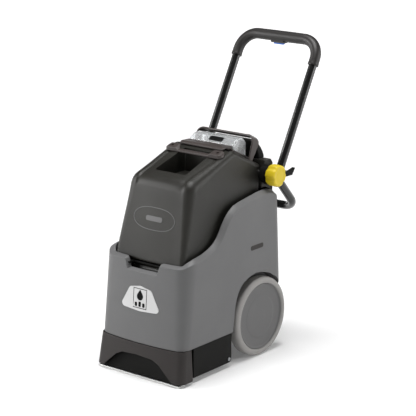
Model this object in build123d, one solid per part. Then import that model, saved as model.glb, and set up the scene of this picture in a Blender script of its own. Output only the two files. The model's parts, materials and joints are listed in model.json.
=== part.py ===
"""Upright carpet cleaner: wheeled base, lift-off recovery tank and fold-forward handle.

Millimetres. +X is the machine's right side, +Y its rear, +Z up. The origin is on the floor,
under the middle of the machine's bounding box.
"""

import os
from math import atan2, cos, hypot, radians, sin

from build123d import *

# ---- driving dimensions ------------------------------------------------------------------
BODY_HALF = 157.0          # half-width of the moulded base
BODY_FLOOR = 104.0         # lower edge of the moulded base
LOFT_TOP = 520.0           # height of the upper plan outline that the base is lofted to
BOW = 15.0                 # how far the front bulges forward at its middle
WALL = 4.0                 # wall of the moulded base
RIM_WIDTH = 18.0           # width of the rim round the tank well
RIM_STEP = 8.0             # how far the rim's high part stands in from its edge
RIM_RISE = 11.0            # how far the bevelled rim rises from its outer edge
FRONT_RISE = 5.0           # the same across the front
FRONT_LOW, FRONT_HIGH = -328.0, -294.0      # front of the base at its lower edge and at the loft's top
REAR_LOW, REAR_HIGH = 148.0, 126.0          # rear of the base at the same two heights
CORNER_LOW, CORNER_HIGH = 34.0, 60.0        # radius of the front corners at the same two heights
REAR_CORNER = 35.0
RIM_FRONT = [(-400, 338.5), (-308, 338.5), (-298, 345), (-285, 348.5), (-256, 352)]
RIM_SWEEP = [(-256, 352), (-197, 364), (-152, 392), (-128, 428), (-98, 458), (-50, 474)]
RIM_SHOULDER = [(-50, 474), (60, 488), (95, 487), (112, 477), (131, 443), (200, 400)]
NOTCH_FLOOR, NOTCH_LOW, NOTCH_HIGH = 310.0, 54.0, 67.0      # height, half-width at the bottom and at the top
WELL_REAR = 68.0           # rear end of the opening that the recovery tank stands in

WHEEL_Y, WHEEL_R = 29.0, 119.5
WHEEL_IN, WHEEL_OUT = 126.0, 163.0
DISC_R = 100.0
ARCH_LINE = [(-103, 104), (-96, 148), (-79, 215), (-50, 243), (8, 258.5), (74, 243), (119, 213), (150, 175)]
ARCH_WALL_X = 118.0        # inner wall of each wheel arch
AXLE_R = 8.0

SKIRT_REAR, SKIRT_CORNER = -292.0, 24.0
DECK_HALF = 150.0
DECK_FRONT, DECK_REAR = -302.0, -110.0
PANEL_REAR, PANEL_OUT, PANEL_CORNER = -109.0, 156.0, 10.0
SCREW_AT, SCREW_R, SCREW_HEAD_R = (-121.0, 27.0), 3.5, 5.5
BRUSH_Y, BRUSH_Z = -225.0, 49.0
BRUSH_CORE_R, BRUSH_TIP_R, BRUSH_SHAFT_R = 22.0, 46.0, 5.0
BRUSH_PULLEY_R, MOTOR_PULLEY_R = 24.0, 12.0
BRUSH_MOTOR_Y, BRUSH_MOTOR_Z = -150.0, 156.0
PULLEY_X0, PULLEY_X1 = 132.0, 142.0
SPRAY_Y, SPRAY_Z, SPRAY_R = -170.0, 88.0, 7.0
NOZZLE_XS = (-90, 0, 90)
HOSE_X, HOSE_R = -50.0, 5.0
MOTOR_Y, MOTOR_R = 36.0, 66.0

LIP_HALF = 152.8           # half the suction width
LIP_FRONT, LIP_THICK = -345.5, 6.0
MOUTH_FRONT, MOUTH_REAR = -336.5, -327.5

TANK_FLOOR = 334.0
TANK_HALF_FLOOR, TANK_HALF_TOP = 128.0, 113.0
TANK_APEX = (-41.0, 628.0)
TANK_BROW = (-241.0, 566.0)
TANK_TAIL = (83.0, 566.0)
TANK_WALL = 3.0
CREASE_R = 18.0            # rounding between the tank's sides and its roof, front and back

HOLD_HALF, HOLD_FRONT, HOLD_REAR, HOLD_FLOOR = 54.0, -198.0, -62.0, 551.0    # hand hold in the tank's roof
SLOT_FRONT, SLOT_REAR, SLOT_FLOOR = -13.0, 53.0, 549.0      # slots that the bail's legs stand in
BAR_Y, BAR_HALF, BAR_SCREW_X, BAR_SCREW_R = -83.0, 104.0, 84.0, 3.0          # carry bar
DOME_HALF, DOME_FRONT, DOME_REAR = 83.5, -10.5, 49.5
LID_LIP = -56.0            # front edge of the lid's lip, forward of the roof's ridge
PIPE_X, FLOAT_X, PIPES_Y = 52.0, -30.0, 18.0                                 # standpipe and float in the tank

TRAY_Z = 326.0             # shelf that the recovery tank stands on
RUN = 0.05                 # radial running clearance of pivots
SNUG = 0.05                # radial clearance of parts slipped over the handle tube

COLUMN_HALF = 124.0
SWITCH_X = 28.0
HOOD_HALF, LOUVRES, LOUVRE_PITCH = 97.0, 9, 18.0
PIVOT_Y, PIVOT_Z = 82.0, 541.0
PIVOT_R = 6.0
BOSS_R = 28.0
KNOB_R, KNOB_HUB_R, KNOB_HUB_X1 = 33.5, 31.0, 158.0     # grip of the knob, and its slimmer root
BOSS_X0, BOSS_X1, ARM_X1 = 126.5, 151.5, 156.5
KNOB_X1 = 185.0
TUBE_X, TUBE_R, TUBE_BORE = 144.0, 12.5, 10.8
KINK = (122.5, 522.0)
GRIP_BAR = (333.5, 901.5)
CROSS_BAR = (222.0, 411.0)
GRIP_R, GRIP_BEND_R = 17.0, 58.0
GRIP_START = 0.82          # where the sleeve begins, as a share of the way from kink to bar

GLAND_Z, GLAND_R, GLAND_BORE_R = 300.0, 8.9, 4.5

HOOK_Y, HOOK_Z, HOOK_X1 = 139.0, 534.0, 166.0
HOOK_STUB_R = 4.0
TRIGGER_X, TRIGGER_HALF, HOUSING_HALF = -7.0, 18.0, 24.0

BAIL_Y, BAIL_Z = 31.0, 562.0
BAIL_REACH, BAIL_ANGLE = 98.5, 63.0
BAIL_X0, BAIL_X1, BAIL_CORNER = 101.0, 108.0, 16.0
BAIL_TAPER = [(-8, 7), (6, 7.6), (32, 9.2), (67, 14.6), (88, 17.2), (98.5, 15.6)]     # (reach, half-width)
BAIL_PIN_R = 3.0


# ---- helpers -----------------------------------------------------------------------------
def block(x0, x1, y0, y1, z0, z1):
    """Box between two corners."""
    return Pos((x0 + x1) / 2, (y0 + y1) / 2, (z0 + z1) / 2) * Box(x1 - x0, y1 - y0, z1 - z0)


def rod_x(y, z, radius, x0, x1):
    """Cylinder along X."""
    return Pos((x0 + x1) / 2, y, z) * Rot(0, 90, 0) * Cylinder(radius, x1 - x0)


def rod_z(x, y, radius, z0, z1):
    """Upright cylinder."""
    return Pos(x, y, (z0 + z1) / 2) * Cylinder(radius, z1 - z0)


def ring_x(y, z, outer, inner, x0, x1):
    """Tube along X."""
    return rod_x(y, z, outer, x0, x1) - rod_x(y, z, inner, x0 - 1, x1 + 1)


def prism_x(outline, x0, x1):
    """Solid from x0 to x1 whose side outline is a face or a list of (y, z) points."""
    face = make_face(Polyline(*outline, close=True)) if isinstance(outline, list) else outline
    return extrude(Plane.YZ.offset(x0) * face, x1 - x0)


def both_sides(part):
    """The part and its mirror image in the machine's middle plane."""
    return part + mirror(part, about=Plane.YZ)


def left_of(part):
    """Mirror image of a right-hand part."""
    return mirror(part, about=Plane.YZ)


def line_z(start, end, y):
    """Height at y of the line through two (y, z) points."""
    return start[1] + (y - start[0]) / (end[0] - start[0]) * (end[1] - start[1])


# ---- base --------------------------------------------------------------------------------
def plan_outline(half, front, rear, front_radius, rear_radius):
    """Plan of the base: bowed front, straight sides and rounded corners."""
    lines = Line((half, front), (half, rear)) + Line((half, rear), (-half, rear))
    lines += Line((-half, rear), (-half, front))
    lines += ThreePointArc((-half, front), (0, front - BOW), (half, front))
    face = make_face(lines)
    face = fillet(face.vertices().filter_by(lambda v: v.Y > 0), rear_radius)
    front_corners = face.vertices().filter_by(lambda v: v.Y < front + 1 and abs(v.X) > half - 1)
    return fillet(front_corners, front_radius)


def base_envelope(inset):
    """The base's outer form, before the rim is cut, shrunk by an inset."""
    half, rear_radius = BODY_HALF - inset, REAR_CORNER - inset
    low = plan_outline(half, FRONT_LOW + inset, REAR_LOW - inset, CORNER_LOW - inset, rear_radius)
    high = plan_outline(half, FRONT_HIGH + inset, REAR_HIGH - inset, CORNER_HIGH - inset, rear_radius)
    return loft([Pos(0, 0, BODY_FLOOR) * low, Pos(0, 0, LOFT_TOP) * high], ruled=True)


def raised(points, lift):
    """Points of the rim's line raised by a lift, which is limited across the front."""
    front_lift = min(lift, FRONT_RISE)
    return [(y, z + (front_lift if y < RIM_FRONT[-2][0] else lift)) for y, z in points]


def rim_outline(lift):
    """Side outline below the rim, raised by a lift, as a (y, z) face."""
    front, shoulder = raised(RIM_FRONT, lift), raised(RIM_SHOULDER, lift)
    foot = BODY_FLOOR - 50
    outline = Polyline(*front) + Spline(*raised(RIM_SWEEP, lift), tangents=((1, 0.12), (1, 0.13)))
    outline += Polyline(*shoulder, (shoulder[-1][0], foot), (front[0][0], foot), front[0])
    return make_face(outline)


def wheel_arches(grow, wall_x):
    """Space over each wheel, widened by a margin, outside an inner wall."""
    edge = []
    for y, z in ARCH_LINE:
        scale = 1 + grow / hypot(y - WHEEL_Y, z - WHEEL_R)
        edge.append((WHEEL_Y + (y - WHEEL_Y) * scale, WHEEL_R + (z - WHEEL_R) * scale))
    foot = BODY_FLOOR - 50
    outline = Spline(*edge) + Polyline(edge[-1], (200, edge[-1][1]), (200, foot), (edge[0][0], foot), edge[0])
    return both_sides(prism_x(make_face(outline), wall_x, 200))


def make_base_shell():
    outer = base_envelope(0) & prism_x(rim_outline(0), -200, 200)
    crown = base_envelope(RIM_STEP) & prism_x(rim_outline(RIM_RISE), -200, 200)
    outer = (outer + crown) - wheel_arches(0, ARCH_WALL_X)
    cavity = base_envelope(WALL) & prism_x(rim_outline(-WALL), -200, 200)
    cavity -= wheel_arches(WALL, ARCH_WALL_X - WALL)
    well = base_envelope(RIM_WIDTH) & block(-200, 200, -400, WELL_REAR, 200, 600)
    notch_top = 400
    slope = (NOTCH_HIGH - NOTCH_LOW) / (RIM_FRONT[0][1] - NOTCH_FLOOR)
    reach = NOTCH_LOW + slope * (notch_top - NOTCH_FLOOR)
    notch = [(-NOTCH_LOW, NOTCH_FLOOR), (NOTCH_LOW, NOTCH_FLOOR), (reach, notch_top), (-reach, notch_top)]
    shell = outer - cavity - well
    shell -= extrude(Plane.XZ.offset(250) * make_face(Polyline(*notch, close=True)), 150)
    shell -= block(-200, 200, -400, 200, 0, BODY_FLOOR)
    shell -= block(-60, 60, 80, 118, 440, 600)
    shell -= rod_x(WHEEL_Y, WHEEL_R, AXLE_R + 0.6, -200, 200)
    shell -= Pos(0, REAR_LOW - 8, GLAND_Z) * Rot(90, 0, 0) * Cylinder(GLAND_R + 0.1, 40)
    return shell


def make_tank_tray():
    tray = base_envelope(WALL + 1) & block(-200, 200, -400, 60, TRAY_Z, TRAY_Z + 5)
    tray -= block(-51, 51, -330, -298, TRAY_Z - 10, TRAY_Z + 10)
    return tray


def make_filler_trough():
    """Open trough in the front notch through which clean water is poured."""
    outer = block(-50, 50, -317, -299, 286, NOTCH_FLOOR + 1)
    return outer - block(-47, 47, -314, -302, 289, 400)


def make_solution_tank():
    outer = fillet(block(-112, 112, -295, -60, 205, 322).edges(), 14)
    inner = fillet(block(-109, 109, -292, -63, 208, 319).edges(), 11)
    return outer - inner


def make_chassis_plate():
    """Plate that closes the base from below, with a bracket for the axle at each side."""
    plate = block(-113, 113, -109, 138, 104.5, 108.5)
    plate += both_sides(block(96, 104, WHEEL_Y - 22, WHEEL_Y + 22, 108.5, 140))
    return plate - rod_x(WHEEL_Y, WHEEL_R, AXLE_R, -110, 110)


def make_axle():
    return rod_x(WHEEL_Y, WHEEL_R, AXLE_R, -152, 152)


def make_axle_collars():
    return both_sides(ring_x(WHEEL_Y, WHEEL_R, 13, AXLE_R, 119.5, 123.5))


# ---- wheels ------------------------------------------------------------------------------
def turned_x(profile):
    """Solid turned about the wheel axle from an (x, radius) outline."""
    face = make_face(Polyline(*profile, close=True))
    solid = revolve(Plane.XY * face, Axis.X)
    return Pos(0, WHEEL_Y, WHEEL_R) * solid


def make_wheel_disc():
    """Dished disc with a hub, a web and a rim."""
    profile = [
        (125, AXLE_R + RUN), (125, 20), (138, 24), (143, 88), (WHEEL_IN + 3, 92), (WHEEL_IN + 3, DISC_R),
        (160, DISC_R), (160, 94), (154, 88), (156, 40), (158, 0), (153, 0), (153, AXLE_R + RUN),
    ]
    return turned_x(profile)


def make_tyre():
    tread = WHEEL_R
    profile = [
        (WHEEL_IN, DISC_R + 0.02), (WHEEL_IN, tread - 6), (WHEEL_IN + 6, tread), (WHEEL_OUT - 9, tread),
        (WHEEL_OUT - 2, tread - 5), (WHEEL_OUT, tread - 12), (WHEEL_OUT, DISC_R + 3), (160, DISC_R + 0.02),
    ]
    return turned_x(profile)


# ---- brush deck --------------------------------------------------------------------------
def belt_slot():
    return block(PULLEY_X0 - 3, PULLEY_X1 + 3, BRUSH_Y - 40, BRUSH_MOTOR_Y + 30, 95, 112)


def make_brush_deck():
    shell = block(-DECK_HALF, DECK_HALF, DECK_FRONT, DECK_REAR, 14, 103)
    shell -= block(-DECK_HALF + 4, DECK_HALF - 4, DECK_FRONT + 4, DECK_REAR - 4, 0, 99)
    shell -= belt_slot()
    shell -= rod_x(BRUSH_Y, BRUSH_Z, 6.0, -200, 200)
    shell -= rod_z(HOSE_X, SPRAY_Y, HOSE_R + 1, 95, 110)
    return shell


def make_side_panel():
    """Cover over the belt side of the brush deck, with a round lower rear corner."""
    outline = make_face(Polyline((-283, 16), (PANEL_REAR, 16), (PANEL_REAR, 103), (-283, 103), close=True))
    lower_rear = outline.vertices().filter_by(lambda v: v.X > PANEL_REAR - 1 and v.Y < 17)
    panel = prism_x(fillet(lower_rear, PANEL_CORNER), DECK_HALF + 0.5, PANEL_OUT)
    panel -= rod_x(*SCREW_AT, SCREW_R, 140, 170)
    return panel - rod_x(BRUSH_Y, BRUSH_Z, 9.0, 140, 153)


def make_deck_screws():
    shank = rod_x(*SCREW_AT, SCREW_R, DECK_HALF + 0.5, PANEL_OUT)
    head = ring_x(*SCREW_AT, SCREW_HEAD_R, 2.5, PANEL_OUT, PANEL_OUT + 2.5)
    head += rod_x(*SCREW_AT, 2.5, PANEL_OUT, PANEL_OUT + 1)
    return both_sides(shank + head)


def skirt_section(z, half, front, inset):
    """Plan outline of the skirt at one height, open to the rear."""
    half, front = half - inset, front + inset
    sides = Polyline((half, front), (half, SKIRT_REAR), (-half, SKIRT_REAR), (-half, front))
    face = make_face(sides + ThreePointArc((-half, front), (0, front - BOW), (half, front)))
    return Pos(0, 0, z) * fillet(face.vertices().filter_by(lambda v: v.Y < front + 1), SKIRT_CORNER - inset)


def make_front_skirt():
    outer = loft([skirt_section(10, 162, -345, 0), skirt_section(103.5, 156.5, -331, 0)], ruled=True)
    inner = loft([skirt_section(5, 162, -345.7, 3.5), skirt_section(110, 156.5, -330, 3.5)], ruled=True)
    skirt = outer - inner - block(-200, 200, SKIRT_REAR - 1, SKIRT_REAR + 12, 0, 200)
    arch = [(-134, 0), (-134, 8), (-80, 56), (-56, 67), (0, 71), (56, 67), (80, 56), (134, 8), (134, 0)]
    skirt -= extrude(Plane.XZ.offset(250) * make_face(Polyline(*arch, close=True)), 150)
    return skirt


def make_vacuum_shoe():
    """Inclined funnel that carries water from the suction mouth up into the machine."""
    outer = prism_x([(-339, LIP_THICK), (-324, 99), (-304, 99), (-324, LIP_THICK)], -147.5, 147.5)
    return outer - prism_x([(MOUTH_FRONT, 0), (-319, 110), (-308, 110), (MOUTH_REAR, 0)], -145, 145)


def make_shoe_lip():
    """Steel rim of the suction mouth, which the front of the machine stands on."""
    rim = block(-LIP_HALF, LIP_HALF, LIP_FRONT, -320, 0, LIP_THICK)
    return rim - block(-145, 145, MOUTH_FRONT, MOUTH_REAR, -1, LIP_THICK + 1)


def make_brush_shaft():
    return rod_x(BRUSH_Y, BRUSH_Z, BRUSH_SHAFT_R, -149, 149)


def make_brush_core():
    return ring_x(BRUSH_Y, BRUSH_Z, BRUSH_CORE_R, BRUSH_SHAFT_R, -126, 124)


def make_bristles():
    """Tufts in four helical rows round the core."""
    rows, tufts, pitch, twist = 4, 15, 16.0, 18
    tuft = rod_z(0, 0, 4.0, BRUSH_CORE_R, BRUSH_TIP_R)
    solids = []
    for row in range(rows):
        for step in range(tufts):
            angle = row * 360 / rows + step * twist
            x = (step - (tufts - 1) / 2) * pitch
            solids.append(Pos(x, BRUSH_Y, BRUSH_Z) * Rot(angle, 0, 0) * tuft)
    return Compound(children=solids)


def make_brush_bearings():
    return both_sides(ring_x(BRUSH_Y, BRUSH_Z, 6.0, BRUSH_SHAFT_R + RUN, 146, 150))


def make_brush_pulley():
    return ring_x(BRUSH_Y, BRUSH_Z, BRUSH_PULLEY_R, BRUSH_SHAFT_R, PULLEY_X0, PULLEY_X1)


def make_brush_motor():
    can = rod_x(BRUSH_MOTOR_Y, BRUSH_MOTOR_Z, 36, -10, 108)
    return can + rod_x(BRUSH_MOTOR_Y, BRUSH_MOTOR_Z, 14, 108, 122)


def make_motor_pulley():
    wheel = rod_x(BRUSH_MOTOR_Y, BRUSH_MOTOR_Z, MOTOR_PULLEY_R, PULLEY_X0, PULLEY_X1)
    return wheel + rod_x(BRUSH_MOTOR_Y, BRUSH_MOTOR_Z, 4, 122.3, PULLEY_X0)


def belt_loop(gap):
    """Outline round both pulleys at a distance from their rims, as a flat (y, z) face."""
    span_y, span_z = BRUSH_MOTOR_Y - BRUSH_Y, BRUSH_MOTOR_Z - BRUSH_Z
    lean = atan2(span_z, span_y)
    spread = atan2(BRUSH_PULLEY_R - MOTOR_PULLEY_R, hypot(span_y, span_z))
    big, small = BRUSH_PULLEY_R + gap, MOTOR_PULLEY_R + gap
    touches = []
    for side in (1, -1):
        turn = lean + side * (radians(90) - spread)
        touches.append((BRUSH_Y + big * cos(turn), BRUSH_Z + big * sin(turn)))
        touches.append((BRUSH_MOTOR_Y + small * cos(turn), BRUSH_MOTOR_Z + small * sin(turn)))
    far_big = (BRUSH_Y - big * cos(lean), BRUSH_Z - big * sin(lean))
    far_small = (BRUSH_MOTOR_Y + small * cos(lean), BRUSH_MOTOR_Z + small * sin(lean))
    loop = Line(touches[0], touches[1]) + ThreePointArc(touches[1], far_small, touches[3])
    loop += Line(touches[3], touches[2]) + ThreePointArc(touches[2], far_big, touches[0])
    return make_face(loop)


def make_drive_belt():
    gap, thickness = 0.3, 2.0
    belt = prism_x(belt_loop(gap + thickness), PULLEY_X0 + 1, PULLEY_X1 - 1)
    return belt - prism_x(belt_loop(gap), PULLEY_X0, PULLEY_X1)


def make_spray_bar():
    bar = ring_x(SPRAY_Y, SPRAY_Z, SPRAY_R, 5, -120, 120)
    bar += both_sides(rod_x(SPRAY_Y, SPRAY_Z, SPRAY_R, 120, 123))
    for x in NOZZLE_XS:
        bar -= rod_z(x, SPRAY_Y, 3.0, SPRAY_Z - 14, SPRAY_Z)
    return bar - rod_z(HOSE_X, SPRAY_Y, HOSE_R, SPRAY_Z, SPRAY_Z + 10)


def make_spray_nozzles():
    """Three jets screwed into the spray bar."""
    return Compound(children=[
        rod_z(x, SPRAY_Y, 3.0, SPRAY_Z - 15, SPRAY_Z - 5) - rod_z(x, SPRAY_Y, 0.8, SPRAY_Z - 16, SPRAY_Z - 4)
        for x in NOZZLE_XS
    ])


# ---- drives inside the base --------------------------------------------------------------
def make_vacuum_motor():
    body = rod_z(0, MOTOR_Y, MOTOR_R, 150, 250) + rod_z(0, MOTOR_Y, 48, 250, 300)
    return body - rod_z(0, MOTOR_Y, 14, 290, 301)


def make_vacuum_duct():
    """Flat riser from the motor's outlet up to the exhaust hood."""
    duct = block(-36, 36, 103, 116, 210, 572) + block(-30, 30, 92, 103, 212, 244)
    duct -= rod_z(0, MOTOR_Y, MOTOR_R + 0.3, 150, 250)
    return duct - block(-33, 33, 106, 113, 213, 573) - block(-27, 27, 90, 108, 215, 241)


def make_pump():
    return rod_x(-80, 156, 20, -96, -30) + block(-96, -70, -100, -60, 109, 140)


def make_solution_hose():
    """Hose from the pump to the spray bar, held inside the base."""
    height = 156
    corners = [(HOSE_X, -101, height), (HOSE_X, SPRAY_Y, height), (HOSE_X, SPRAY_Y, SPRAY_Z + 5.2)]
    route = FilletPolyline(*corners, radius=30)
    return tube_along(route, HOSE_R)


# ---- column and exhaust hood -------------------------------------------------------------
def make_rear_column():
    outline = [(70, 490), (88, 578), (118, 578), (127, 566), (127, 446), (118, 430), (70, 430)]
    hollow = [(73.5, 493), (91, 575), (117, 575), (124, 566), (124, 420), (73.5, 420)]
    column = prism_x(outline, -COLUMN_HALF, COLUMN_HALF) - prism_x(hollow, -COLUMN_HALF + 4, COLUMN_HALF - 4)
    column -= prism_x(rim_outline(RIM_RISE + 0.5), -200, 200)
    column -= both_sides(rod_x(PIVOT_Y, PIVOT_Z, PIVOT_R, COLUMN_HALF - 4, 140))
    column -= both_sides(rod_x(PIVOT_Y, PIVOT_Z, 10.5, 110, COLUMN_HALF - 4))
    column -= block(-60, 60, 120, 140, 520, 560)
    return column - block(-37, 37, 102, 117, 570, 580)


def make_rear_hood():
    """Domed exhaust cover with louvre slots in its back."""
    foot, top, front, rear = 578.3, 634, 90, 129
    outline = Polyline((rear, 592), (rear, foot), (front, foot), (front, top), (94, top))
    outline += ThreePointArc((94, top), (118, 622), (rear, 592))
    hood = prism_x(make_face(outline), -HOOD_HALF, HOOD_HALF)
    ends = hood.edges().filter_by(lambda e: abs(abs(e.center().X) - HOOD_HALF) < 0.5)
    hood = fillet(ends.filter_by(lambda e: e.center().Z > 590 and e.center().Y > front + 2), 12)
    hood -= prism_x([(93, 578), (93, 628), (98, 629), (114, 620), (124, 592), (124, 578)], -84, 84)
    for index in range(LOUVRES):
        x = (index - (LOUVRES - 1) / 2) * LOUVRE_PITCH + 2
        hood -= block(x - 4, x + 4, 112, 140, 588, 608)
    return hood


def make_switch_panel():
    panel = block(-59.8, 59.8, 123.5, 129, 520.2, 559.8)
    for x in (-SWITCH_X, SWITCH_X):
        panel -= block(x - 13, x + 13, 120, 131, 530, 550)
    return panel


def make_rocker(x):
    """Rocker switch on a pin, turning about X in its panel cut-out."""
    rocker = block(x - 12.4, x + 12.4, 124, 130.5, 531.2, 548.8)
    return rocker - prism_x([(131, 540), (129.5, 549), (131, 550)], x - 13, x + 13)


def make_cord_gland():
    sleeve = Pos(0, 141, GLAND_Z) * Rot(90, 0, 0) * (Cylinder(GLAND_R, 14) - Cylinder(GLAND_BORE_R, 20))
    flange = Pos(0, 147.5, GLAND_Z) * Rot(90, 0, 0) * (Cylinder(14, 3) - Cylinder(GLAND_BORE_R, 10))
    return sleeve + flange


# ---- handle ------------------------------------------------------------------------------
def handle_route():
    """Right half of the handle's centre-line, from the cross-bar round to the grip bar."""
    corners = [
        (0, *CROSS_BAR), (TUBE_X, *CROSS_BAR), (TUBE_X, *KINK), (TUBE_X, *GRIP_BAR), (0, *GRIP_BAR),
    ]
    return FilletPolyline(*corners, radius=[48, 30, GRIP_BEND_R])


def tube_along(route, radius):
    return sweep(Plane(route @ 0, z_dir=route % 0) * Circle(radius), path=route)


def make_handle_tube():
    route = handle_route()
    return both_sides(tube_along(route, TUBE_R) - tube_along(route, TUBE_BORE))


def grip_route():
    start = tuple(a + (b - a) * GRIP_START for a, b in zip(KINK, GRIP_BAR))
    return FilletPolyline((TUBE_X, *start), (TUBE_X, *GRIP_BAR), (0, *GRIP_BAR), radius=GRIP_BEND_R)


def trigger_slot(margin):
    """Space under the grip bar that the trigger moves in."""
    y, z = GRIP_BAR
    half = TRIGGER_HALF + margin
    return block(TRIGGER_X - half, TRIGGER_X + half, y - 7 - margin, y + 3 + margin, z - 40, z - TUBE_R - 0.6)


def make_handle_grip():
    route = grip_route()
    sleeve = both_sides(tube_along(route, GRIP_R) - tube_along(route, TUBE_R + SNUG))
    return sleeve - trigger_slot(1)


def make_handle_bracket(hook_stub):
    """Arm that holds the tube's kink and turns on the pivot bolt; one side has a stub for the cord hook."""
    upper = [(PIVOT_Y + 5, PIVOT_Z + 26), (KINK[0] + 26, KINK[1] + 20)]
    lower = [(KINK[0] + 14, KINK[1] - 22), (PIVOT_Y - 4, PIVOT_Z - 30)]
    bracket = rod_x(PIVOT_Y, PIVOT_Z, BOSS_R, BOSS_X0, BOSS_X1) + prism_x(upper + lower, BOSS_X0 + 2, ARM_X1)
    bracket -= rod_x(PIVOT_Y, PIVOT_Z, KNOB_HUB_R + 0.6, BOSS_X1, ARM_X1 + 1)
    bracket -= rod_x(PIVOT_Y, PIVOT_Z, PIVOT_R + RUN, 100, 200)
    if hook_stub:
        bracket += rod_x(HOOK_Y, HOOK_Z, HOOK_STUB_R, ARM_X1 - 1, HOOK_X1)
    return bracket - tube_along(handle_route(), TUBE_R + SNUG)


def make_pivot_bolt():
    bolt = rod_x(PIVOT_Y, PIVOT_Z, PIVOT_R, COLUMN_HALF - 4, 176)
    return bolt + rod_x(PIVOT_Y, PIVOT_Z, 10, COLUMN_HALF - 9, COLUMN_HALF - 4)


def make_knob():
    """Clamping knob with six shallow finger scallops, on the end of the pivot bolt."""
    knob = rod_x(PIVOT_Y, PIVOT_Z, KNOB_HUB_R, BOSS_X1 + 0.5, KNOB_X1)
    knob += rod_x(PIVOT_Y, PIVOT_Z, KNOB_R, KNOB_HUB_X1, KNOB_X1)
    for index in range(6):
        turn = radians(60 * index + 10)
        scallop_y, scallop_z = PIVOT_Y + 46.3 * cos(turn), PIVOT_Z + 46.3 * sin(turn)
        knob -= rod_x(scallop_y, scallop_z, 16, BOSS_X1, KNOB_X1 + 1)
    knob = fillet(knob.faces().sort_by(Axis.X)[-1].edges(), 3.5)
    return knob - rod_x(PIVOT_Y, PIVOT_Z, PIVOT_R + RUN, 150, 176.5)


def make_cord_hook():
    """Swivelling finger that the mains lead is wound on."""
    below = [(HOOK_Y, HOOK_Z - 8), (HOOK_Y + 30, HOOK_Z - 9), (HOOK_Y + 43, HOOK_Z + 9)]
    above = [(HOOK_Y + 42, HOOK_Z + 12), (HOOK_Y + 18, HOOK_Z + 7), (HOOK_Y, HOOK_Z + 8)]
    hook = rod_x(HOOK_Y, HOOK_Z, 8, ARM_X1 + 0.5, HOOK_X1) + prism_x(below + above, ARM_X1 + 0.5, HOOK_X1)
    return hook - rod_x(HOOK_Y, HOOK_Z, HOOK_STUB_R + RUN, 150, 180)


def make_trigger_housing():
    """Low rim round the trigger, on the underside of the grip."""
    y, z = GRIP_BAR
    front = [(y - 14, z - 9), (y - 13, z - 17), (y - 10, z - 20)]
    rear = [(y + 6, z - 20), (y + 10, z - 16), (y + 10, z - 13)]
    housing = prism_x(front + rear, TRIGGER_X - HOUSING_HALF, TRIGGER_X + HOUSING_HALF)
    housing -= rod_x(y, z, GRIP_R + 0.02, TRIGGER_X - HOUSING_HALF - 5, TRIGGER_X + HOUSING_HALF + 5)
    return housing - trigger_slot(1)


def make_spray_trigger():
    y, z = GRIP_BAR
    front, rear, top, lip, foot = y - 7, y + 3, z - 18.5, z - 23, z - 25
    paddle = [(front, lip), (front + 2, foot), (rear - 2, foot), (rear, lip), (rear, top), (front, top)]
    return prism_x(paddle, TRIGGER_X - TRIGGER_HALF, TRIGGER_X + TRIGGER_HALF)


# ---- recovery tank -----------------------------------------------------------------------
def tank_outline(inset):
    """Side outline of the recovery tank as a (y, z) face."""
    points = [(-297, TANK_FLOOR), TANK_BROW, TANK_APEX, TANK_TAIL, (61, 480), (54, TANK_FLOOR)]
    face = make_face(Polyline(*points, close=True))
    face = fillet(face.vertices().filter_by(lambda v: abs(v.X - TANK_BROW[0]) < 1), 46)
    face = fillet(face.vertices().filter_by(lambda v: abs(v.X - TANK_APEX[0]) < 1), 20)
    return face if inset == 0 else offset(face, -inset)


def tank_envelope(inset):
    """Outer form of the recovery tank, shrunk by an inset."""
    low, high = TANK_HALF_FLOOR - inset, TANK_HALF_TOP - inset
    front = [(-low, TANK_FLOOR), (-high, 640), (high, 640), (low, TANK_FLOOR)]
    slab = extrude(Plane.XZ.offset(-200) * make_face(Polyline(*front, close=True)), 600)
    solid = prism_x(tank_outline(inset), -200, 200) & slab
    creases = solid.edges().filter_by(lambda e: abs(e.center().X) > 100 and e.center().Z > TANK_FLOOR + 8)
    return fillet(creases, CREASE_R - inset)


def roof_z(y):
    """Height of the tank's roof line at y."""
    if y < TANK_APEX[0]:
        return line_z(TANK_BROW, TANK_APEX, y)
    return line_z(TANK_APEX, TANK_TAIL, y)


def roof_band(y0, y1, low, high, half):
    """Strip over the rear slope of the roof, between two heights above it."""
    start, end = roof_z(y0), roof_z(y1)
    return prism_x([(y0, start + low), (y1, end + low), (y1, end + high), (y0, start + high)], -half, half)


def make_recovery_tank():
    outer = tank_envelope(0)
    tank = outer - tank_envelope(TANK_WALL)
    hold_wall = block(-HOLD_HALF - 3, HOLD_HALF + 3, HOLD_FRONT - 4, HOLD_REAR + 4, HOLD_FLOOR - 3, 700)
    slot_out = TANK_HALF_TOP - 0.5
    slot_walls = both_sides(block(BAIL_X0 - 4, slot_out, SLOT_FRONT - 3, SLOT_REAR + 3, SLOT_FLOOR - 3, 700))
    tank = tank + (hold_wall & outer) + (slot_walls & outer)
    tank -= block(-HOLD_HALF, HOLD_HALF, HOLD_FRONT, HOLD_REAR, HOLD_FLOOR, 700)
    tank -= both_sides(block(BAIL_X0 - 1, BAIL_X1 + 1, SLOT_FRONT, SLOT_REAR, SLOT_FLOOR, 700))
    tank -= both_sides(rod_x(BAIL_Y, BAIL_Z, BAIL_PIN_R, 90, slot_out))
    return tank - block(-72, 72, -8, 46, 560, 700)


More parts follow.
